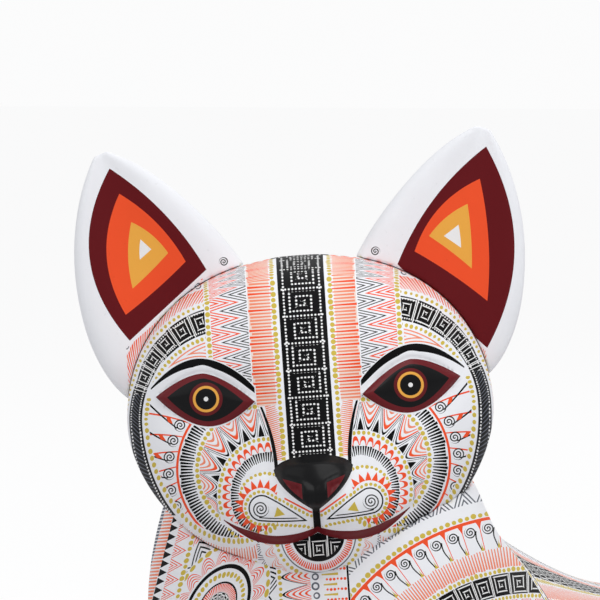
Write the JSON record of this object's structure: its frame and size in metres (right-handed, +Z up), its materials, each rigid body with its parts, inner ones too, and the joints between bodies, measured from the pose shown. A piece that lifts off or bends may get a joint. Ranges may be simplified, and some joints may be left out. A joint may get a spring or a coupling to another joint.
{
  "type": "alebrije figure",
  "caption": "Painted wooden feline figure lying with its head raised and turned, with push-fit ears and tail.",
  "frame": {"origin": "middle of the flat underside of the trunk, on the surface the figure lies on", "axes": "+Z up; the figure lies along Y with its paws towards -Y and its tail towards +Y; +X is the figure's own left"},
  "size_m": [0.2586, 0.5065, 0.3231],
  "materials": {
    "body_paint": "hand-painted matt white with fine patterns",
    "head_paint": "hand-painted matt white with fine patterns",
    "ear_paint": "hand-painted matt white, dark red, orange and yellow",
    "leg_paint": "hand-painted matt white with fine patterns",
    "tail_paint": "hand-painted matt white with black and orange rings",
    "dowel_wood": "bare turned wood"
  },
  "bodies": {
    "figure": {"trunk": "body_paint", "head": "head_paint", "foreleg_left": "leg_paint", "foreleg_right": "leg_paint", "hindleg_left": "leg_paint", "hindleg_right": "leg_paint", "neck_dowels": "dowel_wood", "foreleg_dowels_left": "dowel_wood", "foreleg_dowels_right": "dowel_wood", "hindleg_dowels_left": "dowel_wood", "hindleg_dowels_right": "dowel_wood"},
    "ear_left": {"ear_left": "ear_paint"},
    "ear_right": {"ear_right": "ear_paint"},
    "tail": {"tail": "tail_paint"}
  },
  "joints": [
    {"name": "ear_left_pull", "type": "slide", "parent": "figure", "child": "ear_left", "axis": [0.4406, 0.3443, 0.829], "range_m": [0, 0.03]},
    {"name": "ear_right_pull", "type": "slide", "parent": "figure", "child": "ear_right", "axis": [-0.5273, -0.412, 0.7431], "range_m": [0, 0.03]},
    {"name": "tail_pull", "type": "slide", "parent": "figure", "child": "tail", "axis": [0, 1, 0], "range_m": [0, 0.034]}
  ]
}
